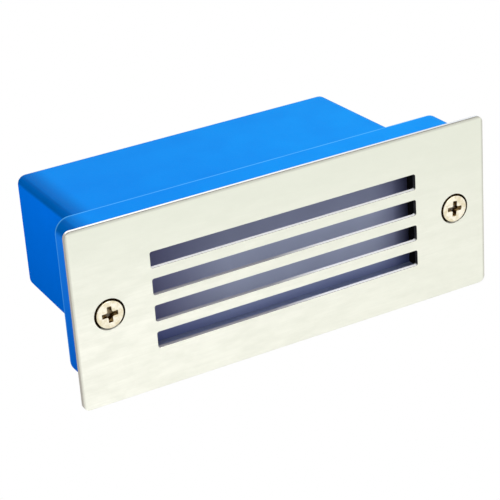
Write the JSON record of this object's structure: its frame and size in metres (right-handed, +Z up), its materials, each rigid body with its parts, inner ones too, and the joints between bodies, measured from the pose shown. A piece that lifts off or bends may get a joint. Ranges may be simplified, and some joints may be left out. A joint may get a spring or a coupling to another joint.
{
  "type": "recessed step light",
  "caption": "Recessed wall or step light: slotted flat metal fascia fixed by countersunk screws over a blue plastic recess box with lamp tray, diffuser, driver and terminal block",
  "frame": {"origin": "centre of the fascia's rear face, in the plane that seats on the wall", "axes": "+X right along the fascia, +Y into the wall, +Z up"},
  "size_m": [0.14, 0.071, 0.056],
  "materials": {
    "fascia_steel": "fine horizontal brush lines",
    "gasket_foam": "closed-cell foam",
    "screw_plate": "pale yellow passivated steel",
    "box_plastic": "satin moulded blue",
    "brass": "machined",
    "grommet_rubber": "matt moulded",
    "bezel_plastic": "matt moulded",
    "zinc_steel": "zinc plated",
    "diffuser_plastic": "frosted",
    "seal_rubber": "soft matt",
    "reflector_plastic": "satin white",
    "board_white": "white solder mask",
    "led_phosphor": "moulded phosphor",
    "connector_plastic": "moulded nylon",
    "case_plastic": "fine texture",
    "board_green": "green solder mask",
    "ferrite": "pressed ferrite with taped winding",
    "capacitor_can": "shrink sleeve",
    "terminal_plastic": "moulded nylon",
    "lead_brown": "smooth insulation",
    "lead_blue": "smooth insulation",
    "lead_red": "smooth insulation",
    "lead_black": "smooth insulation"
  },
  "bodies": {
    "housing": {"recess_flange": "box_plastic", "recess_chamber": "box_plastic", "recess_rear": "box_plastic", "screw_inserts": "brass", "cable_grommet": "grommet_rubber", "lamp_bezel": "bezel_plastic", "bezel_screws": "zinc_steel", "diffuser": "diffuser_plastic", "diffuser_seal": "seal_rubber", "reflector": "reflector_plastic", "reflector_screws": "zinc_steel", "led_board": "board_white", "leds": "led_phosphor", "board_screws": "zinc_steel", "board_connector": "connector_plastic", "driver_case": "case_plastic", "driver_lid": "case_plastic", "driver_board": "board_green", "driver_transformer": "ferrite", "driver_capacitors": "capacitor_can", "driver_screws": "zinc_steel", "terminal_block": "terminal_plastic", "terminal_clamps": "brass", "terminal_screws": "zinc_steel", "terminal_fixing_screw": "zinc_steel", "live_lead": "lead_brown", "neutral_lead": "lead_blue", "led_positive_lead": "lead_red", "led_negative_lead": "lead_black"},
    "fascia": {"fascia_plate": "fascia_steel", "fascia_gasket": "gasket_foam"},
    "left_screw": {"fascia_screw_left": "screw_plate"},
    "right_screw": {"fascia_screw_right": "screw_plate"}
  },
  "joints": [
    {"name": "fascia_removal", "type": "slide", "parent": "housing", "child": "fascia", "axis": [0, -1, 0], "range_m": [0, 0.04]},
    {"name": "left_screw_turn", "type": "hinge", "parent": "fascia", "child": "left_screw", "pos_m": [-0.059, 0, 0], "axis": [0, 1, 0], "continuous": true},
    {"name": "right_screw_turn", "type": "hinge", "parent": "fascia", "child": "right_screw", "pos_m": [0.059, 0, 0], "axis": [0, 1, 0], "continuous": true}
  ]
}
